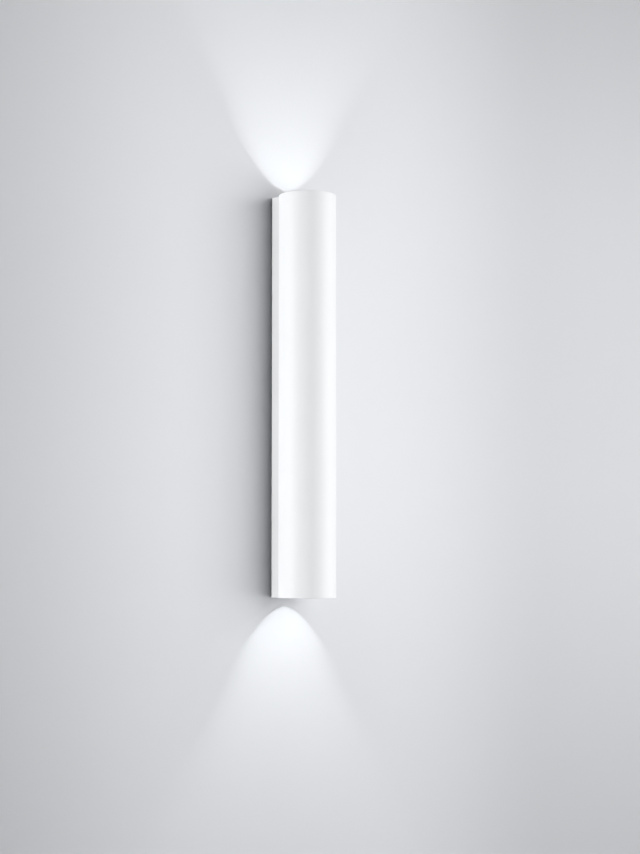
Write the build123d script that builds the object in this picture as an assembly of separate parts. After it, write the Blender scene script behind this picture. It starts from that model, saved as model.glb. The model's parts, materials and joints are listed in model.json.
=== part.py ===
"""Tube wall light: a round white tube on a narrow rear spine, with a light well at each end.

Millimetres. +Z is up, +X is to the right seen from the front, and +Y points into the wall. The wall is the
plane Y = 0, and the origin is the centre of the wall bracket's two screw slots on that plane.
The lower end is the same set of pieces as the upper end, turned half a turn about the Y axis.
"""
from build123d import *
import math
import os

# ---- tube and rear spine ----------------------------------------------------------------------
tube_diameter = 57.0
tube_wall = 1.8
tube_length = 400.0
rim_rounding = 0.4  # the tube's cut ends
spine_width = 36.0
spine_behind = 4.5  # from the tube's back to the spine's rear edge
spine_wall = 1.6
spine_rounding = 0.5  # the spine's rear edges
lip_width = 3.2  # turned in at the spine's rear edge, behind the bracket's ears
lip_thickness = 1.5
wall_gap = 1.5  # shadow gap between the spine and the wall
window_width = 20.0  # the cable's way through the spine and the tube
window_bottom = -45.0
window_top = 24.0
window_corner = 2.0
plug_thickness = 3.0  # the plug that closes the spine's end
plug_leg = 10.0

# ---- wall bracket -----------------------------------------------------------------------------
bracket_sheet = 1.5
bracket_end = 20.0  # from a wall screw to the bracket's end
bracket_corner = 2.0
wall_screw_spacing = 120.0
wall_slot_width = 4.6
wall_slot_length = 9.0
ear_inset = 5.0  # from a wall screw to an ear, towards the middle
ear_height = 10.0
ear_reach = 2.8  # how far an ear reaches behind the spine's lip
lift_travel = 12.0  # how far the lamp lifts before its notches meet the ears
notch_margin = 1.0  # each lip notch is this much taller than an ear, above and below
carry_notch_depth = 5.0  # from the bracket's top edge to the hanging stud's centre
cable_height = -32.0  # the cable's way through the bracket
cable_bore = 9.0
bush_wall = 2.0
bush_flange = 2.0
bush_flange_thickness = 1.8
lock_tab_height = 10.0
lock_height = -43.0
lock_sunk = 0.3  # the locking screw's end below the spine's side

# ---- stud and screws --------------------------------------------------------------------------
stud_diameter = 6.0
stud_shank = 4.0
stud_head = 7.0  # formed head inside the tube
stud_head_thickness = 1.2
m3_shank = 3.0
m3_head = 5.5
m3_head_height = 1.8
m2_5_shank = 2.5
m2_5_head = 4.5
m2_5_head_height = 1.6
sunk_socket = 2.0
lock_socket = 1.5
lock_bush_diameter = 5.0
lock_bush_length = 3.4
socket_depth = 1.0
head_edge = 0.4
cross_length = 0.55  # of the screw head's diameter
cross_width = 0.14  # of the screw head's diameter
cross_depth = 0.55  # of the screw head's height
sunk_depth = 0.2  # the body screws' heads below the spine's web
body_screw_bite = 9.0  # thread in the heat sink
tray_screw_bite = 6.0
driver_screw_end = 1.0  # thread past the tray

# ---- light well and its pieces, one set for each end ------------------------------------------
light_depth = 35.2  # from the tube's rim down to the phosphor's face
phosphor_diameter = 13.0
phosphor_rise = 0.4
phosphor_dome = 0.24  # rounding of its edge
board_side = 19.0
board_thickness = 1.0
sink_base = 6.0
fin_length = 22.0
fin_thickness = 1.6
fin_pitch = 6.3
sink_rib = 8.0  # thick middle rib that takes the screws
lead_hole_diameter = 4.0
lead_hole_side = 12.2  # to the side of the tube's axis
lead_hole_front = 9.0  # in front of the tube's axis
holder_margin = 1.45  # from the LED holder to the heads of the cup's screws
holder_height = 2.8
holder_opening = 15.0
holder_screw_inset = 3.0  # from the holder's edge to a holder screw
holder_counterbore = 1.0
holder_edge = 0.5
cup_wall = 2.3
cup_base = 2.0
cup_screw_margin = 0.25  # from the head of a cup screw to the cup's wall
ledge_width = 2.8
ledge_thickness = 1.5
gasket_thickness = 1.0
gasket_width = 2.2
glass_thickness = 3.0
glass_bevel = 0.4
reflector_wall = 0.8
reflector_throat = 8.2
reflector_rim_gap = 1.0  # from the reflector's bowl to the ledge's inner edge
reflector_bulge = 1.6  # how far its wall bows out from a straight cone
ring_depth = 6.0  # from the tube's rim down to the trim ring's face
ring_flange = 1.7
ring_wall = 1.5
neck_length = 5.0
ring_edge = 0.6  # bevel round the trim ring's opening
lug_count = 3
lug_angle = 12.0  # degrees
lug_reach = 1.4
lug_height = 2.0
slot_roof = 2.0  # cup wall left above a lug
ring_turn = 20.0  # degrees, from locked to free
grip_notch = 2.5
grip_notch_depth = 0.8

# ---- driver and wiring ------------------------------------------------------------------------
tray_width = 40.0
tray_sheet = 1.2
tray_offset = 10.0  # from the tube's axis back to the tray's front face
tray_tab = 12.0
tray_hole_corner = 1.5
driver_length = 96.0
driver_width = 32.0
driver_height = 22.0
driver_rounding = 2.0
driver_foot = 8.0
driver_foot_thickness = 2.0
terminal_width = 18.0
terminal_height = 36.0
terminal_depth = 12.5
terminal_centre = 4.0
terminal_poles = 3
terminal_pitch = 8.3
terminal_rounding = 1.0
terminal_screw_margin = 0.5  # between the screw well and the block's end
entry_diameter = 4.0
clamp_width = 24.0
clamp_height = 6.0
clamp_depth = 9.0
clamp_passage = 8.0
clamp_wall = 1.4
clamp_centre = -19.5
earth_drop = 2.0  # from the driver's upper end down to the earth screw
earth_washer = 0.8
earth_washer_diameter = 7.0
earth_tag = 0.8
earth_tongue = 5.0
lead_diameter = 2.6
supply_lead_diameter = 2.2
supply_lead_rise = 20.0
supply_lead_places = (3.6, 7.5)  # to the right of the tube's axis
lead_bend = 5.0

# ---- fits -------------------------------------------------------------------------------------
seat_gap = 0.05  # between pieces that are screwed face to face on a curve
slide_gap = 0.3  # between pieces that move past each other
stud_gap = 0.1  # between the hanging stud and its notch
plug_gap = 0.1
screw_gap = 0.2  # round a screw's shank in a clearance hole
thread_gap = 0.05
bush_gap = 0.02
through = 2.0  # how far a cutter runs past what it cuts

# ---- places worked out from the sizes above ---------------------------------------------------
tube_radius = tube_diameter / 2
bore_radius = tube_radius - tube_wall
spine_depth = tube_radius + spine_behind
tube_end = tube_length / 2
spine_back = -wall_gap
axis_y = spine_back - spine_depth
web_inner = tube_radius + seat_gap
web_outer = web_inner + spine_wall
web_back = axis_y + web_outer
sunk_place = web_back - sunk_depth
sunk_drop = (m3_head - m3_shank) / 2
channel_half = spine_width / 2 - spine_wall
lip_inner = channel_half - lip_width
lip_front = spine_back - lip_thickness

bracket_half = wall_screw_spacing / 2 + bracket_end
ear_centre = wall_screw_spacing / 2 - ear_inset
leg_outer = lip_inner - slide_gap
leg_inner = leg_outer - bracket_sheet
ear_back = lip_front - slide_gap
ear_front = ear_back - bracket_sheet
ear_tip = leg_outer + ear_reach + slide_gap
tab_front = axis_y + math.sqrt(web_outer**2 - leg_inner**2) + slide_gap
stud_z = bracket_half - carry_notch_depth

sink_radius = bore_radius - seat_gap
sink_face = tube_end - light_depth - phosphor_rise - board_thickness
fin_top = sink_face - sink_base
sink_end = fin_top - fin_length
upper_screw_z = sink_face - sink_base / 2
lower_screw_z = sink_end + fin_length / 2

cup_outer = bore_radius - screw_gap
cup_inner = cup_outer - cup_wall
cup_screw_radius = cup_inner - m2_5_head / 2 - cup_screw_margin
holder_radius = cup_screw_radius - m2_5_head / 2 - holder_margin
holder_screw_radius = holder_radius - holder_screw_inset
ring_face = tube_end - ring_depth
flange_back = ring_face - ring_flange
cup_top = flange_back - slide_gap
neck_end = flange_back - neck_length
glass_front = neck_end - slide_gap
glass_back = glass_front - glass_thickness
glass_radius = cup_inner - slide_gap
ledge_front = glass_back - gasket_thickness
ledge_back = ledge_front - ledge_thickness
ledge_inner = cup_inner - ledge_width
holder_top = sink_face + holder_height
neck_radius = cup_inner - slide_gap
ring_inner = neck_radius - ring_wall
lug_radius = neck_radius + lug_reach
lug_front = cup_top - slot_roof - slide_gap
lug_back = lug_front - lug_height
slot_margin = math.degrees(slide_gap / neck_radius)

tray_front = axis_y + tray_offset
tray_back = tray_front + tray_sheet
driver_front = tray_front - driver_height
earth_x = -terminal_width / 4
earth_height = driver_length / 2 - earth_drop
lead_x = -lead_hole_side
lead_y = axis_y - lead_hole_front


# ---- shapes that are used again and again -----------------------------------------------------
def block(x_low, x_high, y_low, y_high, z_low, z_high):
    """A box between two corners."""
    size = (x_high - x_low, y_high - y_low, z_high - z_low)
    middle = ((x_low + x_high) / 2, (y_low + y_high) / 2, (z_low + z_high) / 2)
    return Pos(*middle) * Box(*size)


def disc(radius, z_low, z_high):
    """A solid cylinder on the tube's axis between two heights."""
    return Pos(0, axis_y, (z_low + z_high) / 2) * Cylinder(radius, z_high - z_low)


def ring(outer, inner, z_low, z_high):
    """A round band on the tube's axis between two heights."""
    return disc(outer, z_low, z_high) - disc(inner, z_low - through, z_high + through)


def sector(inner, outer, z_low, z_high, start, sweep_angle):
    """Part of a round band on the tube's axis, from the start angle on, in degrees."""
    section = Pos((inner + outer) / 2, (z_low + z_high) / 2) * Rectangle(outer - inner, z_high - z_low)
    turned = revolve(Plane.XZ * section, Axis.Z, sweep_angle)
    return Pos(0, axis_y, 0) * Rot(0, 0, start) * turned


def rod(radius, start, end):
    """A cylinder from one point to another."""
    along = Vector(*end) - Vector(*start)
    return extrude(Plane(origin=start, z_dir=along) * Circle(radius), along.length)


def upright(radius, x, y, z_low, z_high):
    """A vertical cylinder at a place beside the tube's axis."""
    return Pos(x, y, (z_low + z_high) / 2) * Cylinder(radius, z_high - z_low)


def lower(piece):
    """The same piece at the lower end: half a turn about the Y axis."""
    return piece.rotate(Axis.Y, 180)


def pan_screw(shank, head, head_height, seat, tip):
    """A round-headed screw with a cross slot: its head stands on the seat, and its shank runs to the tip."""
    axis = (Vector(*tip) - Vector(*seat)).normalized()
    top = Vector(*seat) - axis * head_height
    body = rod(head / 2, top, seat) + rod(shank / 2, seat, tip)
    edges = body.edges().filter_by(GeomType.CIRCLE)
    body = chamfer(edges.sort_by(lambda edge: (edge.arc_center - top).length)[0], head_edge)
    plane = Plane(origin=top, z_dir=axis)
    for turn in (0, 90):
        slot = Rectangle(head * cross_length, head * cross_width, rotation=turn)
        body -= extrude(plane * slot, head_height * cross_depth)
    return body


def wire(diameter, points, bend):
    """A round lead along straight runs joined by arcs."""
    path = FilletPolyline(*points, radius=bend)
    start = Plane(origin=path @ 0, z_dir=path % 0)
    return sweep(start * Circle(diameter / 2), path)


# ---- tube and rear spine ----------------------------------------------------------------------
def body_screw_heights():
    """Heights of the screws that hold spine, tube and heat sinks together, upper end first."""
    upper = [upper_screw_z, lower_screw_z]
    return upper + [-z for z in upper]


def window(y_low, y_high):
    """The cable window as a cutter with rounded corners."""
    cutter = block(-window_width / 2, window_width / 2, y_low, y_high, window_bottom, window_top)
    return fillet(cutter.edges().filter_by(Axis.Y), window_corner)


def make_tube():
    """The round tube, open at both ends, with its rims rounded."""
    tube = ring(tube_radius, bore_radius, -tube_end, tube_end)
    tube = fillet(tube.edges().filter_by(GeomType.CIRCLE), rim_rounding)
    tube -= window(axis_y, spine_back)
    for z in body_screw_heights():
        tube -= rod(m3_shank / 2 + screw_gap, (0, axis_y, z), (0, spine_back, z))
    tube -= rod(stud_shank / 2 + bush_gap, (0, axis_y, stud_z), (0, spine_back, stud_z))
    return tube


def channel_section(inset):
    """The open channel between the spine's web and its rear edge, drawn in by the inset."""
    half = channel_half - inset
    mouth = lip_inner - inset
    wide = Pos(0, (axis_y + lip_front) / 2) * Rectangle(2 * half, lip_front - axis_y)
    narrow = Pos(0, (axis_y + spine_back) / 2) * Rectangle(2 * mouth, spine_back - axis_y)
    return wide + narrow - Pos(0, axis_y) * Circle(web_outer + inset)


def make_spine():
    """The rear spine: an open channel with its web curved to seat the tube and its rear lips turned in."""
    outline = Pos(0, (axis_y + spine_back) / 2) * Rectangle(spine_width, spine_depth)
    outline = fillet(outline.vertices().group_by(Axis.Y)[-1], spine_rounding)
    section = outline - Pos(0, axis_y) * Circle(web_inner) - channel_section(0)
    spine = Pos(0, 0, -tube_end) * extrude(section, tube_length)
    spine -= window(axis_y, spine_back)
    notch_half = ear_height / 2 + notch_margin
    for side in (-1, 1):
        for ear_z in (ear_centre, -ear_centre):
            edges = sorted((side * lip_inner - side * through, side * channel_half))
            middle = ear_z - lift_travel
            spine -= block(*edges, lip_front - seat_gap, through, middle - notch_half, middle + notch_half)
    for z in body_screw_heights():
        spine -= rod(m3_shank / 2 + screw_gap, (0, axis_y, z), (0, spine_back, z))
        spine -= sunk_head(z, thread_gap)
        spine -= rod(m3_head / 2 + thread_gap, (0, sunk_place, z), (0, spine_back, z))
    spine -= rod(stud_shank / 2 + bush_gap, (0, axis_y, stud_z), (0, spine_back, stud_z))
    spine -= lock_bore(lock_bush_diameter / 2 + bush_gap)
    return spine


def sunk_head(z, gap):
    """The cone of a sunk screw head at this height, wider by the gap."""
    cone = Cone(m3_shank / 2 + gap, m3_head / 2 + gap, sunk_drop)
    return Pos(0, sunk_place - sunk_drop / 2, z) * Rot(-90, 0, 0) * cone


def make_plug():
    """Moulded plug that closes the spine's upper end, with two legs that grip inside the channel."""
    low = tube_end - plug_thickness
    plug = Pos(0, 0, low) * extrude(channel_section(plug_gap), plug_thickness)
    for side in (-1, 1):
        edges = sorted((side * (channel_half - plug_gap), side * (channel_half - plug_gap - spine_wall)))
        plug += block(*edges, web_back - lip_width, lip_front - plug_gap, low - plug_leg, low)
    return plug


# ---- wall bracket -----------------------------------------------------------------------------
def make_bracket():
    """Slotted steel plate with four hooked ears, a notch that carries the lamp's stud, and a locking tab."""
    plate = block(-leg_outer, leg_outer, -bracket_sheet, 0, -bracket_half, bracket_half)
    plate = fillet(plate.edges().filter_by(Axis.Y), bracket_corner)
    for side in (-1, 1):
        leg = sorted((side * leg_inner, side * leg_outer))
        ear = sorted((side * leg_inner, side * ear_tip))
        for middle in (ear_centre, -ear_centre):
            low, high = middle - ear_height / 2, middle + ear_height / 2
            plate += block(*leg, ear_front, -bracket_sheet, low, high)
            plate += block(*ear, ear_front, ear_back, low, high)
    plate += block(leg_inner, leg_outer, tab_front, -bracket_sheet,
                   lock_height - lock_tab_height / 2, lock_height + lock_tab_height / 2)
    for z in (wall_screw_spacing / 2, -wall_screw_spacing / 2):
        slot = SlotOverall(wall_slot_length, wall_slot_width, rotation=90)
        plate -= Pos(0, through, z) * extrude(Plane.XZ * slot, 2 * through + bracket_sheet)
    plate -= rod(cable_bore / 2 + bush_wall + bush_gap, (0, -through - bracket_sheet, cable_height),
                 (0, through, cable_height))
    notch = stud_diameter / 2 + stud_gap
    plate -= rod(notch, (0, -through - bracket_sheet, stud_z), (0, through, stud_z))
    plate -= block(-notch, notch, -through - bracket_sheet, through, stud_z, bracket_half + through)
    return plate


def make_bush():
    """Rubber bush round the cable where it comes through the bracket."""
    outer = cable_bore / 2 + bush_wall
    front = -bracket_sheet - bush_flange_thickness
    bush = rod(outer, (0, -bracket_sheet, cable_height), (0, 0, cable_height))
    bush += rod(outer + bush_flange, (0, front, cable_height), (0, -bracket_sheet, cable_height))
    return bush - rod(cable_bore / 2, (0, front - through, cable_height), (0, through, cable_height))


def make_stud():
    """Shouldered stud through the spine and the tube: the lamp hangs by it in the bracket's notch."""
    inside = axis_y + math.sqrt(bore_radius**2 - (stud_head / 2) ** 2) - seat_gap
    stud = rod(stud_diameter / 2, (0, web_back, stud_z), (0, -slide_gap, stud_z))
    stud += rod(stud_shank / 2, (0, inside, stud_z), (0, web_back, stud_z))
    return stud + rod(stud_head / 2, (0, inside - stud_head_thickness, stud_z), (0, inside, stud_z))


def make_body_screws():
    """Four sunk screws from the back, through the spine and the tube into the heat sinks."""
    screws = []
    tip = axis_y + bore_radius - body_screw_bite
    for z in body_screw_heights():
        screw = sunk_head(z, 0) + rod(m3_shank / 2, (0, tip, z), (0, sunk_place - sunk_drop, z))
        recess = Plane(origin=(0, sunk_place, z), z_dir=(0, -1, 0)) * RegularPolygon(sunk_socket / 2, 6)
        screws.append(screw - extrude(recess, socket_depth))
    return screws


def lock_place():
    """Centre line of the locking screw: its depth beside the tab, between the tab's front and the lip."""
    return (tab_front + lip_front) / 2


def lock_bore(radius):
    """Cylinder across the spine's right side at the locking screw."""
    outside = spine_width / 2
    inside = outside - lock_bush_length - through
    return rod(radius, (inside, lock_place(), lock_height), (outside + through, lock_place(), lock_height))


def make_lock_bush():
    """Threaded bush pressed into the spine's right side, flush outside."""
    outside = spine_width / 2
    inside = outside - lock_bush_length
    start, end = (inside, lock_place(), lock_height), (outside, lock_place(), lock_height)
    return rod(lock_bush_diameter / 2, start, end) - lock_bore(m3_shank / 2 + thread_gap)


def make_lock_screw():
    """Headless socket screw in the bush, backed off so that it just clears the bracket's tab."""
    tip = (leg_outer + slide_gap, lock_place(), lock_height)
    end = (spine_width / 2 - lock_sunk, lock_place(), lock_height)
    socket = Plane(origin=end, z_dir=(-1, 0, 0)) * RegularPolygon(lock_socket / 2, 6)
    return rod(m3_shank / 2, tip, end) - extrude(socket, socket_depth)


# ---- the set of pieces at one end, made at the upper end --------------------------------------
def make_sink():
    """Heat sink: a round plate with fins, a thick middle rib that is tapped, and a hole for the lead."""
    sink = disc(sink_radius, fin_top, sink_face)
    fins = block(-sink_rib / 2, sink_rib / 2, axis_y - sink_radius, axis_y + sink_radius, sink_end, fin_top)
    first = sink_rib / 2 + fin_pitch - fin_thickness
    for side in (-1, 1):
        for number in range(int((sink_radius - first) // fin_pitch) + 1):
            inner = first + number * fin_pitch
            edges = sorted((side * inner, side * (inner + fin_thickness)))
            fins += block(*edges, axis_y - sink_radius, axis_y + sink_radius, sink_end, fin_top)
    sink += fins & disc(sink_radius, sink_end, fin_top)
    for z in (upper_screw_z, lower_screw_z):
        sink -= rod(m3_shank / 2 + thread_gap, (0, axis_y + bore_radius / 2, z), (0, spine_back, z))
    for x, y in holder_screw_places():
        sink -= upright(m2_5_shank / 2 + thread_gap, x, y, fin_top, sink_face)
    for x, y in cup_screw_places():
        sink -= upright(m2_5_shank / 2 + thread_gap, x, y, fin_top, sink_face)
    sink -= upright(m3_shank / 2 + thread_gap, 0, axis_y, sink_end, fin_top)
    return sink - upright(lead_hole_diameter / 2, lead_x, lead_y, sink_end, sink_face)


def holder_screw_places():
    """The LED holder's two screws, to the left and right of the tube's axis."""
    return [(side * holder_screw_radius, axis_y) for side in (-1, 1)]


def cup_screw_places():
    """The optic cup's two screws, across one slanting diameter."""
    angle = math.radians(45)
    return [(side * cup_screw_radius * math.cos(angle), axis_y + side * cup_screw_radius * math.sin(angle))
            for side in (-1, 1)]


def make_board():
    """Square LED board on the heat sink's face."""
    half = board_side / 2
    return block(-half, half, axis_y - half, axis_y + half, sink_face, sink_face + board_thickness)


def make_phosphor():
    """Round phosphor patch, slightly domed, on the LED board."""
    low = sink_face + board_thickness
    patch = disc(phosphor_diameter / 2, low, low + phosphor_rise)
    return fillet(patch.edges().group_by(Axis.Z)[-1], phosphor_dome)


def make_holder():
    """Moulded ring that clamps the LED board, with a round opening and two sunk screw seats."""
    half = board_side / 2 + screw_gap
    low = sink_face
    holder = ring(holder_radius, holder_opening / 2, low, holder_top)
    holder -= block(-half, half, axis_y - half, axis_y + half, low, low + board_thickness)
    holder = chamfer(holder.edges().filter_by(GeomType.CIRCLE).group_by(Axis.Z)[-1], holder_edge)
    for x, y in holder_screw_places():
        holder -= upright(m2_5_shank / 2 + screw_gap, x, y, low, holder_top)
        holder -= upright(m2_5_head / 2 + screw_gap, x, y, holder_top - holder_counterbore, holder_top)
    return holder


def make_holder_screws():
    """Two screws through the LED holder into the heat sink."""
    seat = holder_top - holder_counterbore
    tip = sink_face - sink_base + slide_gap
    return [pan_screw(m2_5_shank, m2_5_head, m2_5_head_height, (x, y, seat), (x, y, tip))
            for x, y in holder_screw_places()]


def make_reflector():
    """Spun reflector: a bowed cone from the LED holder up to a flat rim under the cup's ledge."""
    low = holder_top + plug_gap
    high = ledge_back - plug_gap
    bowl_top = ledge_inner - reflector_rim_gap
    rim = cup_inner - plug_gap
    wall = reflector_wall
    middle = ((reflector_throat + bowl_top) / 2 + reflector_bulge, (low + high) / 2)
    inside = ThreePointArc((reflector_throat, low), middle, (bowl_top, high))
    outside = ThreePointArc((bowl_top + wall, high - wall), (middle[0] + wall, middle[1] - wall / 2),
                            (reflector_throat + wall, low))
    rim_edges = Polyline((bowl_top, high), (rim, high), (rim, high - wall), (bowl_top + wall, high - wall))
    throat_edge = Line((reflector_throat + wall, low), (reflector_throat, low))
    section = make_face(inside + rim_edges + outside + throat_edge)
    return Pos(0, axis_y, 0) * revolve(Plane.XZ * section, Axis.Z)


def make_cup():
    """Optic cup: a sleeve on the heat sink that seats gasket and glass and takes the trim ring's lugs."""
    cup = ring(cup_outer, cup_inner, sink_face, cup_top)
    cup += ring(cup_inner + seat_gap, holder_radius + slide_gap, sink_face, sink_face + cup_base)
    cup += ring(cup_inner + seat_gap, ledge_inner, ledge_back, ledge_front)
    slot_outer = lug_radius + slide_gap
    leg_low = lug_back - slide_gap
    half = lug_angle / 2 + slot_margin
    inner = cup_inner - seat_gap
    for number in range(lug_count):
        start = number * 360 / lug_count - half
        cup -= sector(inner, slot_outer, leg_low, cup_top - slot_roof, start, 2 * half + ring_turn)
        cup -= sector(inner, slot_outer, leg_low, cup_top + seat_gap, start + ring_turn, 2 * half)
    for x, y in cup_screw_places():
        cup -= upright(m2_5_shank / 2 + screw_gap, x, y, sink_face, sink_face + cup_base)
    return cup


def make_cup_screws():
    """Two screws through the cup's base into the heat sink."""
    seat = sink_face + cup_base
    tip = sink_face - sink_base + slide_gap
    return [pan_screw(m2_5_shank, m2_5_head, m2_5_head_height, (x, y, seat), (x, y, tip))
            for x, y in cup_screw_places()]


def make_gasket():
    """Flat silicone ring under the glass."""
    return ring(glass_radius, glass_radius - gasket_width, ledge_front, glass_back)


def make_glass():
    """Round clear glass with bevelled edges."""
    glass = disc(glass_radius, glass_back, glass_front)
    return chamfer(glass.edges().filter_by(GeomType.CIRCLE), glass_bevel)


def make_ring():
    """Trim ring: a flanged sleeve over the glass, with bayonet lugs and grip notches."""
    trim = ring(bore_radius - slide_gap, ring_inner, flange_back, ring_face)
    trim += ring(neck_radius, ring_inner, neck_end, flange_back)
    inner_edge = trim.edges().filter_by(GeomType.CIRCLE).group_by(Axis.Z)[-1].sort_by(SortBy.RADIUS)[0]
    trim = chamfer(inner_edge, ring_edge)
    for number in range(lug_count):
        middle = number * 360 / lug_count
        start = middle - lug_angle / 2
        trim += sector(neck_radius - seat_gap, lug_radius, lug_back, lug_front, start, lug_angle)
        cutter = block(ring_inner - through, bore_radius - 2 * slide_gap - grip_notch / 2,
                       -grip_notch / 2, grip_notch / 2, ring_face - grip_notch_depth, ring_face + through)
        trim -= Pos(0, axis_y, 0) * Rot(0, 0, middle + 180 / lug_count) * cutter
    return trim


def make_led_lead():
    """Two-core lead from the driver, between the fins and up through the heat sink to the LED holder."""
    start = (-driver_width / 4, tray_front - driver_height / 2, driver_length / 2)
    bend_low = (start[0], start[1], start[2] + supply_lead_rise)
    bend_high = (lead_x, lead_y, sink_end - supply_lead_rise / 2)
    return wire(lead_diameter, [start, bend_low, bend_high, (lead_x, lead_y, sink_face)], lead_bend)


# ---- driver tray and wiring -------------------------------------------------------------------
def make_tray():
    """Steel tray between the two heat sinks, with a bent tab at each end and a hole for the supply leads."""
    half = tray_width / 2
    top = sink_end
    tray = block(-half, half, tray_front, tray_back, -top, top)
    for z_low, z_high in ((top - tray_sheet, top), (-top, -top + tray_sheet)):
        tray += block(-half, half, tray_front - tray_tab, tray_front, z_low, z_high)
    tray -= upright(m3_shank / 2 + screw_gap, 0, axis_y, -top - through, top + through)
    for z in driver_screw_heights():
        tray -= rod(m3_shank / 2 + thread_gap, (0, tray_front - through, z), (0, tray_back + through, z))
    for x, z in terminal_screw_places() + clamp_screw_places() + [(earth_x, earth_height)]:
        tray -= rod(m2_5_shank / 2 + thread_gap, (x, tray_front - through, z), (x, tray_back + through, z))
    hole_z = supply_turn_height()
    opening = block(0, terminal_width / 2 + lead_bend, tray_front - through, tray_back + through,
                    hole_z - lead_bend, hole_z + lead_bend)
    return tray - fillet(opening.edges().filter_by(Axis.Y), tray_hole_corner)


def make_tray_screws():
    """A screw through each tray tab into a heat sink's middle rib."""
    seat = sink_end - tray_sheet
    tip = sink_end + tray_screw_bite
    upper = pan_screw(m3_shank, m3_head, m3_head_height, (0, axis_y, seat), (0, axis_y, tip))
    return [upper, lower(upper)]


def driver_screw_heights():
    """Heights of the two screws in the driver's feet."""
    reach = driver_length / 2 + driver_foot / 2
    return [reach, -reach]


def make_driver():
    """LED driver: a closed box on the tray's front with a screwed foot at each end."""
    half_width, half_length = driver_width / 2, driver_length / 2
    case = block(-half_width, half_width, driver_front, tray_front, -half_length, half_length)
    case = fillet(case.edges(), driver_rounding)
    feet = block(-half_width, half_width, tray_front - driver_foot_thickness, tray_front,
                 -half_length - driver_foot, half_length + driver_foot)
    feet = fillet(feet.edges().filter_by(Axis.Y), driver_rounding)
    driver = case + feet
    for z in driver_screw_heights():
        driver -= rod(m3_shank / 2 + screw_gap, (0, tray_front - driver_height, z), (0, tray_front, z))
    return driver


def make_driver_screws():
    """Two screws through the driver's feet into the tray."""
    seat = tray_front - driver_foot_thickness
    tip = tray_back + driver_screw_end
    return [pan_screw(m3_shank, m3_head, m3_head_height, (0, seat, z), (0, tip, z))
            for z in driver_screw_heights()]


def terminal_screw_places():
    """The terminal block's two fixing screws, one at each end of it."""
    reach = terminal_height / 2 - m2_5_head / 2 - terminal_screw_margin
    return [(0, terminal_centre + reach), (0, terminal_centre - reach)]


def make_terminal():
    """Terminal block on the tray's back, with a wire entry and a screw well for each pole."""
    low, high = terminal_centre - terminal_height / 2, terminal_centre + terminal_height / 2
    back = tray_back + terminal_depth
    terminal = block(-terminal_width / 2, terminal_width / 2, tray_back, back, low, high)
    terminal = fillet(terminal.edges().filter_by(Axis.Z), terminal_rounding)
    for number in range(terminal_poles):
        z = terminal_centre + (number - (terminal_poles - 1) / 2) * terminal_pitch
        terminal -= rod(entry_diameter / 2, (-terminal_width / 2, tray_back + terminal_depth / 3, z),
                        (-terminal_width / 4, tray_back + terminal_depth / 3, z))
        terminal -= rod(entry_diameter / 2, (-terminal_width / 8, back - terminal_depth / 3, z),
                        (-terminal_width / 8, back, z))
    for x, z in terminal_screw_places():
        terminal -= rod(m2_5_shank / 2 + screw_gap, (x, tray_back, z), (x, back, z))
        terminal -= rod(m2_5_head / 2 + screw_gap, (x, tray_back + terminal_depth / 2, z), (x, back, z))
    return terminal


def make_terminal_screws():
    """Two screws that hold the terminal block on the tray."""
    seat = tray_back + terminal_depth / 2
    return [pan_screw(m2_5_shank, m2_5_head, m2_5_head_height, (x, seat, z), (x, tray_front, z))
            for x, z in terminal_screw_places()]


def clamp_screw_places():
    """The cable clamp's two screws."""
    reach = clamp_passage / 2 + clamp_wall + m2_5_head / 2 + slide_gap
    return [(reach, clamp_centre), (-reach, clamp_centre)]


def make_clamp():
    """Moulded saddle that grips the supply cable on the tray's back."""
    low, high = clamp_centre - clamp_height / 2, clamp_centre + clamp_height / 2
    back = tray_back + clamp_depth
    half = clamp_passage / 2 + clamp_wall
    clamp = block(-half, half, tray_back, back, low, high)
    clamp += block(-clamp_width / 2, clamp_width / 2, tray_back, tray_back + clamp_depth / 4, low, high)
    arch = back - clamp_wall - clamp_passage / 2
    clamp -= upright(clamp_passage / 2, 0, arch, low - through, high + through)
    clamp -= block(-clamp_passage / 2, clamp_passage / 2, tray_back - through, arch,
                   low - through, high + through)
    for x, z in clamp_screw_places():
        clamp -= rod(m2_5_shank / 2 + screw_gap, (x, tray_back - through, z), (x, back, z))
    return clamp


def make_clamp_screws():
    """Two screws that hold the cable clamp on the tray."""
    seat = tray_back + clamp_depth / 4
    return [pan_screw(m2_5_shank, m2_5_head, m2_5_head_height, (x, seat, z), (x, tray_front, z))
            for x, z in clamp_screw_places()]


def make_earth_screw():
    """Earth screw in the tray, with a washer under its head."""
    seat = tray_back + earth_tag + earth_washer
    under_head = (earth_x, seat, earth_height)
    washer = rod(earth_washer_diameter / 2, (earth_x, seat - earth_washer, earth_height), under_head)
    tip = (earth_x, tray_front, earth_height)
    return pan_screw(m2_5_shank, m2_5_head, m2_5_head_height, under_head, tip) + washer


def make_earth_lead():
    """Short earth lead from the terminal block up to a tongued ring tag under the earth screw's washer."""
    top = terminal_centre + terminal_height / 2
    radius = earth_washer_diameter / 2
    tongue_low = earth_height - radius - earth_tongue
    tag = rod(radius, (earth_x, tray_back, earth_height), (earth_x, tray_back + earth_tag, earth_height))
    tag += block(earth_x - supply_lead_diameter / 2, earth_x + supply_lead_diameter / 2, tray_back,
                 tray_back + earth_tag, tongue_low, earth_height)
    tag -= rod(m2_5_shank / 2 + screw_gap, (earth_x, tray_front, earth_height),
               (earth_x, tray_back + through, earth_height))
    centre = tray_back + supply_lead_diameter / 2 + seat_gap
    crimp = tongue_low + earth_tongue / 2
    start = tray_back + terminal_depth / 2
    middle = (top + tongue_low) / 2
    points = [(earth_x, start, top), (earth_x, start, middle - lead_bend / 2),
              (earth_x, centre, middle + lead_bend / 2), (earth_x, centre, crimp)]
    return tag + wire(supply_lead_diameter, points, supply_lead_diameter)


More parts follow.
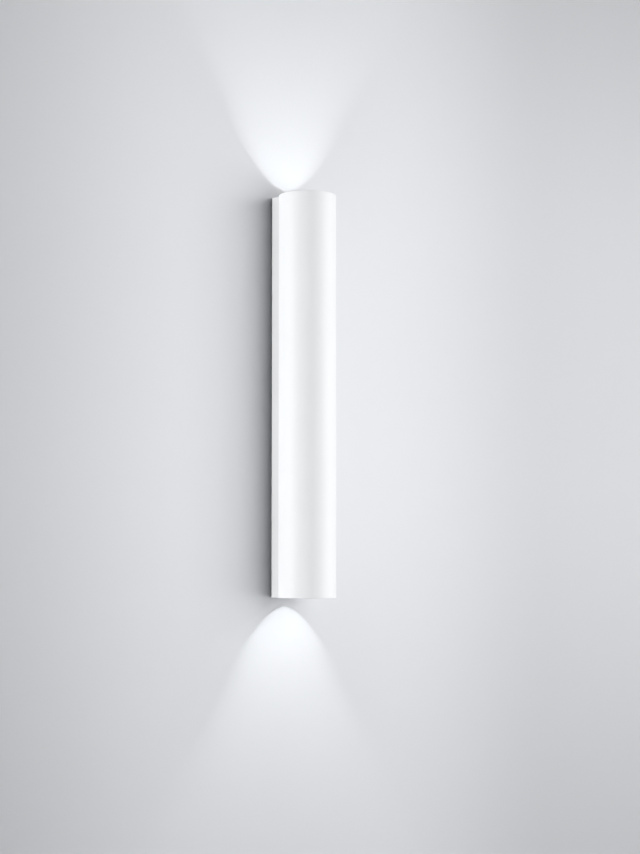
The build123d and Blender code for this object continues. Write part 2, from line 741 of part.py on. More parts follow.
def supply_turn_height():
    """Height at which the supply leads pass forward through the tray."""
    return driver_length / 2 + driver_foot + supply_lead_rise


def make_supply_leads():
    """Two leads from the terminal block up, forward through the tray, and down into the driver's top."""
    top = terminal_centre + terminal_height / 2
    rear = tray_back + terminal_depth / 2
    front = tray_front - driver_height / 2
    turn = supply_turn_height()
    leads = []
    for x in supply_lead_places:
        points = [(x, rear, top), (x, rear, turn), (x, front, turn), (x, front, driver_length / 2)]
        leads.append(wire(supply_lead_diameter, points, lead_bend))
    return leads


# ---- write one file for each node -------------------------------------------------------------
def save(name, shape):
    """Write one node, which is one solid or a list of separate ones."""
    os.makedirs("parts", exist_ok=True)
    solids = shape if isinstance(shape, list) else [shape]
    solids = [s for part in solids for s in part.solids()]
    export_step(solids[0] if len(solids) == 1 else Compound(children=solids), f"parts/{name}.step")


def main():
    single = {
        "tube_body": make_tube(),
        "rear_spine": make_spine(),
        "wall_bracket": make_bracket(),
        "cable_bush": make_bush(),
        "hanging_stud": make_stud(),
        "body_screws": make_body_screws(),
        "locking_bush": make_lock_bush(),
        "locking_screw": make_lock_screw(),
        "driver_tray": make_tray(),
        "tray_screws": make_tray_screws(),
        "led_driver": make_driver(),
        "driver_screws": make_driver_screws(),
        "terminal_block": make_terminal(),
        "terminal_screws": make_terminal_screws(),
        "cable_clamp": make_clamp(),
        "clamp_screws": make_clamp_screws(),
        "earth_screw": make_earth_screw(),
        "earth_lead": make_earth_lead(),
        "supply_leads": make_supply_leads(),
    }
    at_each_end = {
        "spine_plug": make_plug(),
        "heat_sink": make_sink(),
        "led_board": make_board(),
        "led_phosphor": make_phosphor(),
        "led_holder": make_holder(),
        "holder_screws": make_holder_screws(),
        "reflector": make_reflector(),
        "optic_cup": make_cup(),
        "cup_screws": make_cup_screws(),
        "gasket": make_gasket(),
        "glass": make_glass(),
        "trim_ring": make_ring(),
        "led_lead": make_led_lead(),
    }
    for name, shape in single.items():
        save(name, shape)
    for name, shape in at_each_end.items():
        save("upper_" + name, shape)
        solids = shape if isinstance(shape, list) else [shape]
        save("lower_" + name, [lower(s) for s in solids])


main()
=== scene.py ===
"""Looks of the tube wall light: finishes, light wells, camera, backdrop and lights.

Metres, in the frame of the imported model: +Z up, +X to the right seen from the front, the wall at Y = 0.
"""
import json
import math

import bmesh
import bpy
import numpy as np
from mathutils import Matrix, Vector


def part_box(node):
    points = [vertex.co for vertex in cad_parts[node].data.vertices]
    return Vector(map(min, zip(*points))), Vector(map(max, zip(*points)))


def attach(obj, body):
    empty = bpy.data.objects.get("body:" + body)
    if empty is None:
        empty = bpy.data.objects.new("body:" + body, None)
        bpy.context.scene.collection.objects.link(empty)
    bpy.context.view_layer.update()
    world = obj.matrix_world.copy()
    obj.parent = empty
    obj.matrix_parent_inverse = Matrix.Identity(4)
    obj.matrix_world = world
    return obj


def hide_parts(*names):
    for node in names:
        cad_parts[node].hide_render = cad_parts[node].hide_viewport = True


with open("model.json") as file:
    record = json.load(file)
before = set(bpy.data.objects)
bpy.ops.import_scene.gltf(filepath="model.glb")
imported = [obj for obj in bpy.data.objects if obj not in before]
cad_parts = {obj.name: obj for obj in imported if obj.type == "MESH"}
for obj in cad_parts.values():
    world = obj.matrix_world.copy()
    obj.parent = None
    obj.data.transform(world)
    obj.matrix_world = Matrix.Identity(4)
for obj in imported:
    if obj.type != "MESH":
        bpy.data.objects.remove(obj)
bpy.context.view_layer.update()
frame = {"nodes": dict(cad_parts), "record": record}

# ---- places read from the frame ------------------------------------------------------------------
MM = 0.001
tube_low, tube_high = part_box("tube_body")
TUBE_RADIUS = (tube_high[0] - tube_low[0]) / 2
TUBE_END = tube_high[2]
AXIS_Y = (tube_low[1] + tube_high[1]) / 2
LED_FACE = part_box("upper_led_phosphor")[1][2]
BOARD_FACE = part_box("upper_led_board")[1][2]
REFLECTOR_LOW, REFLECTOR_HIGH = (corner[2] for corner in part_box("upper_reflector"))
REFLECTOR_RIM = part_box("upper_reflector")[1][0]
ENDS = {"upper": 1, "lower": -1}

# ---- pieces made here ----------------------------------------------------------------------------
SAME_POINT = 1e-7
SHARP_ANGLE = 35.0
TUBE_WALL = 1.8 * MM
REFLECTOR_THROAT = 8.2 * MM
REFLECTOR_MOUTH = 20.4 * MM
REFLECTOR_WALL = 0.8 * MM
REFLECTOR_BOW = 1.6 * MM
REFLECTOR_BACK_ROWS = 10
FACETS_ROUND = 28
FACET_ROWS = 7
FACET_STEPS = 9
FACET_DEPTH = 0.2 * MM
DAM_RADIUS = 6.95 * MM
DAM_HALF_WIDTH = 0.42 * MM
DAM_HEIGHT = 0.55 * MM
DAM_STEPS = 13
DAM_COLUMNS = 96
BLOCK_LOW, BLOCK_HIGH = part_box("terminal_block")
DRIVER_LOW, DRIVER_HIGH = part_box("led_driver")
DRIVER_FOOT = 8 * MM
DRIVER_END = DRIVER_HIGH[2] - DRIVER_FOOT  # from the middle to either end of the driver's case
POLE_PITCH = 8.3 * MM
POLE_SCREW_RADIUS = 1.75 * MM
POLE_SCREW_HEIGHT = 1.6 * MM
POLE_SCREW_COLUMNS = 120
POLE_SCREW_TOP_ROWS = 24
SCREW_WELL_SIDE = 8  # the block's width over this is how far a screw well is from its middle
ENTRY_DEPTH = 3  # the block's depth over this is how deep a screw well is, and where a wire entry lies
SLOT_HALF_WIDTH = 0.22 * MM
SLOT_STEP = 0.08 * MM
SLOT_DEPTH = 0.7 * MM
POLE_SLEEVE_OUTER = 1.9 * MM
POLE_SLEEVE_INNER = 1.5 * MM
POLE_SLEEVE_LENGTH = 4.3 * MM
POLE_SLEEVE_FLARE = 2 * MM
POLE_SLEEVE_EASE = 0.08 * MM
SUPPLY_LEAD = 1.1 * MM  # radius
SUPPLY_LEAD_PLACES = (3.6 * MM, 7.5 * MM)
LED_LEAD = 1.3 * MM  # radius
LED_LEAD_SIDE = 8.0 * MM
COLLAR_GAP = 0.05 * MM
COLLAR_EASE = 0.15 * MM
COLLAR_COLUMNS = 48
COLLAR_TOP = 0.5  # share of a collar's wall that is left at its top
COLLAR_HEIGHT = 3.0 * MM
SUPPLY_COLLAR_OUTER = 1.85 * MM
LED_COLLAR_OUTER = 2.6 * MM
FERRULE_OUTER = 1.8 * MM
FERRULE_HEIGHT = 4.0 * MM
LID_MARGIN = 1.6 * MM
LID_THICKNESS = 1.0 * MM
LID_EDGE = 0.35 * MM
LID_POWER = 14.0
LID_COLUMNS = 192

# ---- camera: to the left of the lamp and a little below its middle -------------------------------
CAMERA_SWING = math.radians(42.60)  # round the tube, from straight in front towards the left
CAMERA_DISTANCE = 1.8039
CAMERA_HEIGHT = -0.1629
CAMERA_YAW = math.radians(0.399)
CAMERA_PITCH = math.radians(4.166)
CAMERA_LENS = 77.02
CAMERA_NEAR = 0.01

# ---- backdrop ------------------------------------------------------------------------------------
WALL_HALF_WIDTH = 1.6
WALL_TOP = 1.3
HATCH_HALF_WIDTH = 0.015  # an opening in the wall, hidden by the spine, that shows the bracket's back
HATCH_HALF_HEIGHT = 0.19
FLOOR_HEIGHT = -0.95
FLOOR_REACH = 3.0
WALL_COLOUR = (0.80, 0.812, 0.836)
WALL_SIDE_PAINTED_SHADE = 0.20  # painted shade: how much darker the wall is painted far to either side of the lamp, where less light falls
WALL_SIDE_FADE = (0.12, 0.42)  # distances to the side over which it darkens
WALL_END_PAINTED_SHADE = 0.222  # painted shade: how much darker it is painted far above and below the lamp, where less light falls
WALL_END_FADE = (0.10, 0.70)  # distances up and down over which it darkens
WALL_PAINTED_LIGHT_HEIGHT = 0.065  # height at which the painted light on the wall is brightest
FLOOR_COLOUR = (0.74, 0.745, 0.76)
FLOOR_CHANGE = 1.01  # the floor's palest patches over its darkest
PALE_BACKGROUND = (0.80, 0.81, 0.83)
FLOOR_OWN_TONE = 0.94  # share of the background's tone in the floor where it is seen
WORLD_COLOUR = (0.97, 0.985, 1.0)
WORLD_STRENGTH = 0.075

# Soft lamps: the angle is round the tube, in degrees from straight in front towards the right.
SOFT_LIGHTS = {
    "key": dict(angle=14, distance=1.6, height=0.1, width=1.9, length=1.6, power=24.8),
    "right_side": dict(angle=54, distance=3.0, height=0.0, width=1.0, length=2.4, power=25.3, bounces=0),
    "left_side": dict(angle=-112, distance=1.2, height=0.0, width=0.5, length=1.4, power=15.6, bounces=0),
    "rear": dict(angle=148, distance=1.6, height=0.3, width=1.2, length=1.2, power=4.2, bounces=0),
}

# ---- the lamp's own light -----------------------------------------------------------------------------
BEAM_COLOUR = (0.95, 0.975, 1.0)
BEAM_SOURCE = 1.1 * MM  # radius of the glowing spot
BEAM_POWER = {"upper": 0.0298, "lower": 0.0335}
BEAM_HALF_ANGLE = math.radians(42)  # wider than the rim, which cuts the beam's edge
BEAM_FADE = 0.09  # height over which the fan of light on the wall falls to a third
BEAM_START = 0.071  # height above the LED at which the fan has its named strength
BEAM_HEIGHTS = (0.047, 0.125)  # heights above the LED between which the fan's edge softens
BEAM_EDGE_LOSS = (0.28, 1.2)  # how much weaker the fan is at its edge than in its middle, at those heights
LEAST_TO_WALL = 0.05  # this and the next keep the beam's formula from dividing by nothing
LEAST_ROOM = 0.0001
RIM_SLOPE = (TUBE_RADIUS - TUBE_WALL) / (TUBE_END - LED_FACE)


# ---- node helpers --------------------------------------------------------------------------------
def add(tree, kind, place=None, **settings):
    """Add a node, set its properties, and set its input sockets from the place dictionary."""
    made = tree.nodes.new(kind)
    for key, value in settings.items():
        setattr(made, key, value)
    for key, value in (place or {}).items():
        made.inputs[key].default_value = value
    return made


def wire(tree, source, target):
    """Link an output socket to an input socket."""
    tree.links.new(source, target)


def maths(tree, operation, first, second=None, third=None):
    """A Math node whose inputs are sockets or numbers."""
    made = add(tree, "ShaderNodeMath", operation=operation)
    for slot, value in enumerate((first, second, third)):
        if value is None:
            continue
        if isinstance(value, (int, float)):
            made.inputs[slot].default_value = value
        else:
            wire(tree, value, made.inputs[slot])
    return made.outputs[0]


def blend_colours(tree, mask, first, second):
    """A colour that goes from the first to the second with the mask."""
    made = add(tree, "ShaderNodeMix", data_type="RGBA")
    made.inputs["A"].default_value = (*first, 1)
    made.inputs["B"].default_value = (*second, 1)
    wire(tree, mask, made.inputs["Factor"])
    return made.outputs["Result"]


def stretch(tree, value, low, high):
    """A value from 0 to 1 mapped onto a range."""
    made = add(tree, "ShaderNodeMapRange", {"To Min": low, "To Max": high})
    wire(tree, value, made.inputs["Value"])
    return made.outputs["Result"]


def new_group(name, inputs, outputs):
    """An empty node group with named sockets, and its input and output nodes."""
    tree = bpy.data.node_groups.new(name, "ShaderNodeTree")
    for label, kind, value in inputs:
        socket = tree.interface.new_socket(label, in_out="INPUT", socket_type=kind)
        if value is not None:
            socket.default_value = value
    for label, kind in outputs:
        tree.interface.new_socket(label, in_out="OUTPUT", socket_type=kind)
    return tree, tree.nodes.new("NodeGroupInput"), tree.nodes.new("NodeGroupOutput")


FINER_GRAIN = 4.0
FINER_GRAIN_SHARE = 0.35


def grain_group():
    """Fine surface grain as a height: two layers of noise, the second finer and weaker."""
    tree, start, end = new_group(
        "surface_grain",
        [("Vector", "NodeSocketVector", None), ("Grains per metre", "NodeSocketFloat", 1500.0)],
        [("Height", "NodeSocketFloat")],
    )
    coarse = add(tree, "ShaderNodeTexNoise", {"Detail": 2.0, "Roughness": 0.5})
    fine = add(tree, "ShaderNodeTexNoise", {"Detail": 1.0})
    wire(tree, start.outputs["Vector"], coarse.inputs["Vector"])
    wire(tree, start.outputs["Vector"], fine.inputs["Vector"])
    wire(tree, start.outputs["Grains per metre"], coarse.inputs["Scale"])
    finer = maths(tree, "MULTIPLY", start.outputs["Grains per metre"], FINER_GRAIN)
    wire(tree, finer, fine.inputs["Scale"])
    total = maths(tree, "MULTIPLY_ADD", fine.outputs["Fac"], FINER_GRAIN_SHARE, coarse.outputs["Fac"])
    wire(tree, total, end.inputs["Height"])
    return tree


def mottle_group():
    """Slow change from place to place, such as handling marks or an uneven coat, as a mask."""
    tree, start, end = new_group(
        "slow_mottle",
        [("Vector", "NodeSocketVector", None), ("Patches per metre", "NodeSocketFloat", 25.0)],
        [("Mask", "NodeSocketFloat")],
    )
    noise = add(tree, "ShaderNodeTexNoise", {"Detail": 3.0, "Roughness": 0.55})
    wire(tree, start.outputs["Vector"], noise.inputs["Vector"])
    wire(tree, start.outputs["Patches per metre"], noise.inputs["Scale"])
    span = add(tree, "ShaderNodeMapRange", {"From Min": 0.35, "From Max": 0.65})
    wire(tree, noise.outputs["Fac"], span.inputs["Value"])
    wire(tree, span.outputs["Result"], end.inputs["Mask"])
    return tree


def lines_group():
    """Fine parallel lines of drawn or turned metal: noise, for coordinates that are squeezed one way."""
    tree, start, end = new_group(
        "fine_lines",
        [("Vector", "NodeSocketVector", None), ("Lines per metre", "NodeSocketFloat", 3000.0)],
        [("Height", "NodeSocketFloat")],
    )
    noise = add(tree, "ShaderNodeTexNoise", {"Detail": 3.0, "Roughness": 0.6})
    wire(tree, start.outputs["Vector"], noise.inputs["Vector"])
    wire(tree, start.outputs["Lines per metre"], noise.inputs["Scale"])
    wire(tree, noise.outputs["Fac"], end.inputs["Height"])
    return tree


GRAIN = grain_group()
MOTTLE = mottle_group()
LINES = lines_group()


class Finish:
    """A material with a Principled shader, Object coordinates, and the shared effects."""

    def __init__(self, name, **sockets):
        self.material = bpy.data.materials.new(name)
        self.material.use_nodes = True
        self.tree = self.material.node_tree
        self.shader = self.tree.nodes["Principled BSDF"]
        for key, value in sockets.items():
            self.shader.inputs[key.replace("_", " ")].default_value = value
        self.place = add(self.tree, "ShaderNodeTexCoord").outputs["Object"]

    def placed(self, group, vector=None, **values):
        """Place a shared group and give it its values."""
        made = add(self.tree, "ShaderNodeGroup", node_tree=group)
        for key, value in values.items():
            made.inputs[key.replace("_", " ")].default_value = value
        wire(self.tree, vector or self.place, made.inputs["Vector"])
        return made

    def scaled(self, x, y, z):
        """The place times a factor along each axis."""
        made = add(self.tree, "ShaderNodeMapping", {"Scale": (x, y, z)})
        wire(self.tree, self.place, made.inputs["Vector"])
        return made.outputs["Vector"]

    def colour(self, mask, first, second):
        """Base colour that changes with a mask."""
        wire(self.tree, blend_colours(self.tree, mask, first, second), self.shader.inputs["Base Color"])

    def rough(self, mask, low, high):
        """Roughness that changes with a mask."""
        wire(self.tree, stretch(self.tree, mask, low, high), self.shader.inputs["Roughness"])

    def bump(self, height, depth):
        """Relief of a real depth in metres."""
        made = add(self.tree, "ShaderNodeBump", {"Strength": 1.0, "Distance": depth})
        wire(self.tree, height, made.inputs["Height"])
        wire(self.tree, made.outputs["Normal"], self.shader.inputs["Normal"])


# ---- finishes ------------------------------------------------------------------------------------
EARTH_TAG_LENGTH = 9.5 * MM
EARTH_TAG_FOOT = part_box("earth_lead")[1][2] - EARTH_TAG_LENGTH
TINNED_COPPER = (0.72, 0.71, 0.69)


def white_coat(name, dark, light):
    """White powder coat: satin, with a very fine orange peel and a slow change in gloss."""
    finish = Finish(name, Specular_IOR_Level=0.5)
    grain = finish.placed(GRAIN, Grains_per_metre=900.0)
    slow = finish.placed(MOTTLE, Patches_per_metre=18.0)
    finish.colour(slow.outputs["Mask"], dark, light)
    finish.rough(slow.outputs["Mask"], 0.44, 0.52)
    finish.bump(grain.outputs["Height"], 0.006 * MM)
    return finish.material


def zinc_steel():
    """Zinc-plated sheet steel: a faint spangle, and roller lines along the sheet."""
    finish = Finish("zinc_steel", Metallic=1.0)
    cells = add(finish.tree, "ShaderNodeTexVoronoi", {"Scale": 420.0})
    wire(finish.tree, finish.place, cells.inputs["Vector"])
    tone = maths(finish.tree, "MULTIPLY", cells.outputs["Color"], 1.0)  # the cell's colour as one value
    finish.colour(tone, (0.60, 0.61, 0.62), (0.65, 0.66, 0.67))
    finish.rough(tone, 0.36, 0.44)
    rolled = finish.placed(LINES, finish.scaled(1.0, 1.0, 0.02), Lines_per_metre=2600.0)
    finish.bump(rolled.outputs["Height"], 0.01 * MM)
    return finish.material


def bright_steel():
    """Plated screw steel, with a fine grain and a little change in gloss."""
    finish = Finish("bright_steel", Metallic=1.0)
    slow = finish.placed(MOTTLE, Patches_per_metre=500.0)
    finish.colour(slow.outputs["Mask"], (0.60, 0.60, 0.585), (0.72, 0.72, 0.71))
    finish.rough(slow.outputs["Mask"], 0.22, 0.36)
    grain = finish.placed(GRAIN, Grains_per_metre=5000.0)
    finish.bump(grain.outputs["Height"], 0.008 * MM)
    return finish.material


def brass():
    """Turned brass, a little uneven in colour and gloss."""
    finish = Finish("brass", Metallic=1.0)
    slow = finish.placed(MOTTLE, Patches_per_metre=400.0)
    finish.colour(slow.outputs["Mask"], (0.70, 0.50, 0.22), (0.82, 0.64, 0.33))
    finish.rough(slow.outputs["Mask"], 0.24, 0.40)
    grain = finish.placed(GRAIN, Grains_per_metre=4200.0)
    finish.bump(grain.outputs["Height"], 0.008 * MM)
    return finish.material


def black_rubber():
    """Moulded rubber: near black, dull, with a powdery bloom."""
    finish = Finish("black_rubber")
    slow = finish.placed(MOTTLE, Patches_per_metre=240.0)
    finish.colour(slow.outputs["Mask"], (0.022, 0.022, 0.023), (0.045, 0.045, 0.047))
    finish.rough(slow.outputs["Mask"], 0.66, 0.82)
    grain = finish.placed(GRAIN, Grains_per_metre=2600.0)
    finish.bump(grain.outputs["Height"], 0.03 * MM)
    return finish.material


def moulded_plastic(name, dark, light):
    """Injection-moulded plastic with a fine spark-eroded grain."""
    finish = Finish(name, Specular_IOR_Level=0.45)
    slow = finish.placed(MOTTLE, Patches_per_metre=90.0)
    finish.colour(slow.outputs["Mask"], dark, light)
    finish.rough(slow.outputs["Mask"], 0.42, 0.55)
    grain = finish.placed(GRAIN, Grains_per_metre=3200.0)
    finish.bump(grain.outputs["Height"], 0.014 * MM)
    return finish.material


def insulation(name, dark, light):
    """Smooth wire insulation, slightly waxy, as a finish that can still be changed."""
    finish = Finish(name, Specular_IOR_Level=0.5)
    slow = finish.placed(MOTTLE, Patches_per_metre=160.0)
    finish.colour(slow.outputs["Mask"], dark, light)
    finish.rough(slow.outputs["Mask"], 0.34, 0.46)
    grain = finish.placed(GRAIN, Grains_per_metre=1800.0)
    finish.bump(grain.outputs["Height"], 0.01 * MM)
    return finish


def earth_insulation(name, dark, light):
    """Green insulation that ends at the tinned ring tag, which is bare metal above its foot."""
    finish = insulation(name, dark, light)
    tree = finish.tree
    split = add(tree, "ShaderNodeSeparateXYZ")
    wire(tree, finish.place, split.inputs["Vector"])
    bare = maths(tree, "GREATER_THAN", split.outputs["Z"], EARTH_TAG_FOOT)
    wire(tree, bare, finish.shader.inputs["Metallic"])
    green = finish.shader.inputs["Base Color"].links[0].from_socket
    both = add(tree, "ShaderNodeMix", data_type="RGBA")
    wire(tree, bare, both.inputs["Factor"])
    wire(tree, green, both.inputs["A"])
    both.inputs["B"].default_value = (*TINNED_COPPER, 1)
    wire(tree, both.outputs["Result"], finish.shader.inputs["Base Color"])
    return finish.material


def raw_aluminium():
    """Extruded aluminium of the heat sinks: die lines along the tube's axis."""
    finish = Finish("raw_aluminium", Metallic=1.0)
    slow = finish.placed(MOTTLE, Patches_per_metre=120.0)
    finish.colour(slow.outputs["Mask"], (0.62, 0.62, 0.63), (0.74, 0.74, 0.745))
    finish.rough(slow.outputs["Mask"], 0.34, 0.48)
    drawn = finish.placed(LINES, finish.scaled(1.0, 1.0, 0.015), Lines_per_metre=2200.0)
    finish.bump(drawn.outputs["Height"], 0.02 * MM)
    return finish.material


def bright_aluminium():
    """Spun reflector: bright, with fine rings round its axis."""
    finish = Finish("bright_aluminium", Metallic=1.0)
    spun = finish.placed(LINES, finish.scaled(0.02, 0.02, 1.0), Lines_per_metre=3000.0)
    finish.colour(spun.outputs["Height"], (0.84, 0.84, 0.845), (0.92, 0.92, 0.92))
    finish.rough(spun.outputs["Height"], 0.10, 0.22)
    finish.bump(spun.outputs["Height"], 0.006 * MM)
    return finish.material


def black_anodised():
    """Black anodised aluminium: dull, with a fine blasted grain."""
    finish = Finish("black_anodised", Metallic=0.3)
    slow = finish.placed(MOTTLE, Patches_per_metre=150.0)
    finish.colour(slow.outputs["Mask"], (0.012, 0.012, 0.013), (0.02, 0.02, 0.021))
    finish.rough(slow.outputs["Mask"], 0.5, 0.62)
    grain = finish.placed(GRAIN, Grains_per_metre=3600.0)
    finish.bump(grain.outputs["Height"], 0.015 * MM)
    return finish.material


def white_board():
    """White solder mask on the LED board."""
    finish = Finish("white_board", Specular_IOR_Level=0.5)
    slow = finish.placed(MOTTLE, Patches_per_metre=300.0)
    finish.colour(slow.outputs["Mask"], (0.80, 0.80, 0.78), (0.86, 0.86, 0.84))
    finish.rough(slow.outputs["Mask"], 0.30, 0.40)
    grain = finish.placed(GRAIN, Grains_per_metre=2400.0)
    finish.bump(grain.outputs["Height"], 0.01 * MM)
    return finish.material


def phosphor():
    """Yellow phosphor gel over the LED chips: it glows, brighter over each chip."""
    finish = Finish("phosphor", Emission_Strength=4.0, Roughness=0.35)
    cells = add(finish.tree, "ShaderNodeTexVoronoi", {"Scale": 620.0, "Randomness": 0.0})
    wire(finish.tree, finish.place, cells.inputs["Vector"])
    finish.colour(cells.outputs["Distance"], (0.93, 0.80, 0.30), (0.86, 0.66, 0.18))
    glow = blend_colours(finish.tree, cells.outputs["Distance"], (1.0, 0.99, 0.95), (1.0, 0.94, 0.80))
    wire(finish.tree, glow, finish.shader.inputs["Emission Color"])
    grain = finish.placed(GRAIN, Grains_per_metre=2000.0)
    finish.bump(grain.outputs["Height"], 0.02 * MM)
    return finish.material


def clear_silicone():
    """Milky silicone gasket."""
    finish = Finish("clear_silicone", Transmission_Weight=0.35)
    slow = finish.placed(MOTTLE, Patches_per_metre=200.0)
    finish.colour(slow.outputs["Mask"], (0.74, 0.75, 0.75), (0.82, 0.83, 0.83))
    finish.rough(slow.outputs["Mask"], 0.38, 0.50)
    grain = finish.placed(GRAIN, Grains_per_metre=1500.0)
    finish.bump(grain.outputs["Height"], 0.01 * MM)
    return finish.material


def clear_glass():
    """Clear glass that lets the lamp's own light through: its shadow rays pass."""
    finish = Finish("clear_glass", Transmission_Weight=1.0, IOR=1.5)
    slow = finish.placed(MOTTLE, Patches_per_metre=70.0)
    finish.colour(slow.outputs["Mask"], (0.96, 0.975, 0.97), (0.98, 0.99, 0.985))
    finish.rough(slow.outputs["Mask"], 0.0, 0.015)
    shadow = add(finish.tree, "ShaderNodeLightPath").outputs["Is Shadow Ray"]
    let_through(finish.tree, finish.shader, shadow)
    return finish.material


def let_through(tree, shader, mask):
    """Make a surface transparent where the mask is 1."""
    clear = add(tree, "ShaderNodeBsdfTransparent")
    both = add(tree, "ShaderNodeMixShader")
    wire(tree, mask, both.inputs["Fac"])
    wire(tree, shader.outputs["BSDF"], both.inputs[1])
    wire(tree, clear.outputs["BSDF"], both.inputs[2])
    wire(tree, both.outputs["Shader"], tree.nodes["Material Output"].inputs["Surface"])


FINISHES = {
    "white_coat": white_coat("white_coat", (0.868, 0.878, 0.886), (0.883, 0.892, 0.90)),
    "zinc_steel": zinc_steel(),
    "bright_steel": bright_steel(),
    "brass": brass(),
    "black_rubber": black_rubber(),
    "white_plastic": moulded_plastic("white_plastic", (0.80, 0.80, 0.79), (0.85, 0.85, 0.84)),
    "grey_plastic": moulded_plastic("grey_plastic", (0.52, 0.53, 0.54), (0.60, 0.61, 0.62)),
    "green_insulation": earth_insulation("green_insulation", (0.14, 0.38, 0.08), (0.20, 0.46, 0.11)),
    "white_insulation": insulation("white_insulation", (0.74, 0.74, 0.72), (0.80, 0.80, 0.78)).material,
    "raw_aluminium": raw_aluminium(),
    "bright_aluminium": bright_aluminium(),
    "white_board": white_board(),
    "phosphor": phosphor(),
    "black_anodised": black_anodised(),
    "clear_silicone": clear_silicone(),
    "clear_glass": clear_glass(),
}
# A greyer copy of the white coat for the spine: painted shade, for the spine standing back close to the wall.
SPINE_PAINTED_SHADE_COAT = white_coat("spine_painted_shade_coat", (0.765, 0.77, 0.775), (0.785, 0.79, 0.795))
SPINE_NODES = ("rear_spine", "upper_spine_plug", "lower_spine_plug")


def finish_nodes():
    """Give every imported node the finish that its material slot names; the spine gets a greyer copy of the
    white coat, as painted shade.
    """
    for part in frame["record"]["subparts"]:
        mesh = frame["nodes"][part["node"]].data
        coat = SPINE_PAINTED_SHADE_COAT if part["node"] in SPINE_NODES else FINISHES[part["material_slot"]]
        mesh.materials.clear()
        mesh.materials.append(coat)


# ---- pieces made here: points of profiles that are turned round an axis --------------------------
def turned(radii, heights, columns):
    """A profile turned round the Z axis: a point is (r cos a, r sin a, h) with a = 2 pi column / columns.

    The radii and heights are one value for each row, or a grid of rows by columns for a surface that isn't
    round.
    """
    angle = np.linspace(0.0, 2 * np.pi, columns, endpoint=False)
    shape = (len(radii), columns)
    r, h = (np.broadcast_to(v if v.ndim == 2 else v[:, None], shape) for v in (radii, heights))
    return np.stack([r * np.cos(angle), r * np.sin(angle), h], axis=-1)


def on_axis(points, end):
    """Move points about the Z axis to the tube's axis, and turn them over for the lower end."""
    side = ENDS[end]
    return points * (side, 1, side) + (0, AXIS_Y, 0)


def facing_back(points, place):
    """Turn points so that their Z axis faces the wall, and move them: (x, y, z) goes to (x, z, -y)."""
    return np.stack([points[..., 0], points[..., 2], -points[..., 1]], axis=-1) + place


def skin(name, sheets, finish, body="lamp", close_rows=True):
    """One piece whose skin covers each grid of points.

    Columns close on themselves, and rows too where they are a closed section. A face is wound along the
    columns and then along the rows, so it faces outwards where a section runs up its outer side. Points that
    fall together, as at a pole, are merged.
    """
    corners, faces, used = [], [], 0
    for sheet in sheets:
        rows, columns = sheet.shape[:2]
        strips = rows if close_rows else rows - 1
        i, j = np.meshgrid(np.arange(strips), np.arange(columns), indexing="ij")
        on, over = (i + 1) % rows, (j + 1) % columns
        quads = [i * columns + j, i * columns + over, on * columns + over, on * columns + j]
        quads = np.stack(quads, axis=-1)
        faces.append(quads.reshape(-1, 4) + used)
        corners.append(sheet.reshape(-1, 3))
        used += rows * columns
    mesh = bpy.data.meshes.new(name)
    mesh.from_pydata(np.concatenate(corners).tolist(), [], np.concatenate(faces).tolist())
    shaped = bmesh.new()
    shaped.from_mesh(mesh)
    bmesh.ops.remove_doubles(shaped, verts=shaped.verts, dist=SAME_POINT)
    shaped.to_mesh(mesh)
    shaped.free()
    mesh.shade_smooth()
    mesh.set_sharp_from_angle(angle=math.radians(SHARP_ANGLE))
    mesh.materials.append(FINISHES[finish])
    made = bpy.data.objects.new(name, mesh)
    bpy.context.scene.collection.objects.link(made)
    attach(made, body)
    return made


def rounded(corners, radius, steps=4):
    """A profile through the corners, with each corner but the first and last eased by a quadratic curve.

    Between the points a and b, one radius before and after the corner c, the curve is
    (1 - t)^2 a + 2 t (1 - t) c + t^2 b.
    """
    corners = np.array(corners, float)
    before, here, after = corners[:-2], corners[1:-1], corners[2:]
    back, ahead = before - here, after - here
    a = here + radius * back / np.linalg.norm(back, axis=1, keepdims=True)
    b = here + radius * ahead / np.linalg.norm(ahead, axis=1, keepdims=True)
    t = np.linspace(0.0, 1.0, steps)[None, :, None]
    eased = (1 - t) ** 2 * a[:, None] + 2 * t * (1 - t) * here[:, None] + t**2 * b[:, None]
    return np.concatenate([corners[:1], eased.reshape(-1, 2), corners[-1:]])


def make_reflector(end):
    """Bright reflector with pillow facets, in the place of the plain one.

    Its bowl is r = throat + (mouth - throat) t + 4 bow t (1 - t) at the height low + (high - low) t. A facet
    stands (1 - |2u - 1|^3)(1 - |2v - 1|^3) times its depth off the bowl, where u and v go from 0 to 1 across
    it, and each row of facets is half a facet round from the one below.
    """
    low, high = REFLECTOR_LOW, REFLECTOR_HIGH
    columns = FACETS_ROUND * FACET_STEPS
    inner_t = np.linspace(1.0, 0.0, FACET_ROWS * FACET_STEPS + 1)[:, None]
    row = np.minimum(np.floor(inner_t * FACET_ROWS), FACET_ROWS - 1)
    across = (np.arange(columns)[None, :] / FACET_STEPS + 0.5 * row) % 1.0
    along = inner_t * FACET_ROWS - row
    pillow = (1 - np.abs(2 * across - 1) ** 3) * (1 - np.abs(2 * along - 1) ** 3)
    bowl = bowl_radius(inner_t) - FACET_DEPTH * pillow
    outer_t = np.linspace(0.0, 1.0, REFLECTOR_BACK_ROWS)[:, None]
    back = bowl_radius(outer_t) + REFLECTOR_WALL
    rim = np.full((2, 1), REFLECTOR_RIM)
    even = np.ones((1, columns))
    radii = np.concatenate([back * even, rim * even, bowl])
    under_rim = high - REFLECTOR_WALL
    outer_heights = low + (under_rim - low) * outer_t
    inner_heights = low + (high - low) * inner_t
    heights = np.concatenate([outer_heights, [[under_rim], [high]], inner_heights])
    points = on_axis(turned(radii, heights * even, columns), end)
    made = skin(f"{end}_reflector_facets", [points], "bright_aluminium")
    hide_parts(f"{end}_reflector")


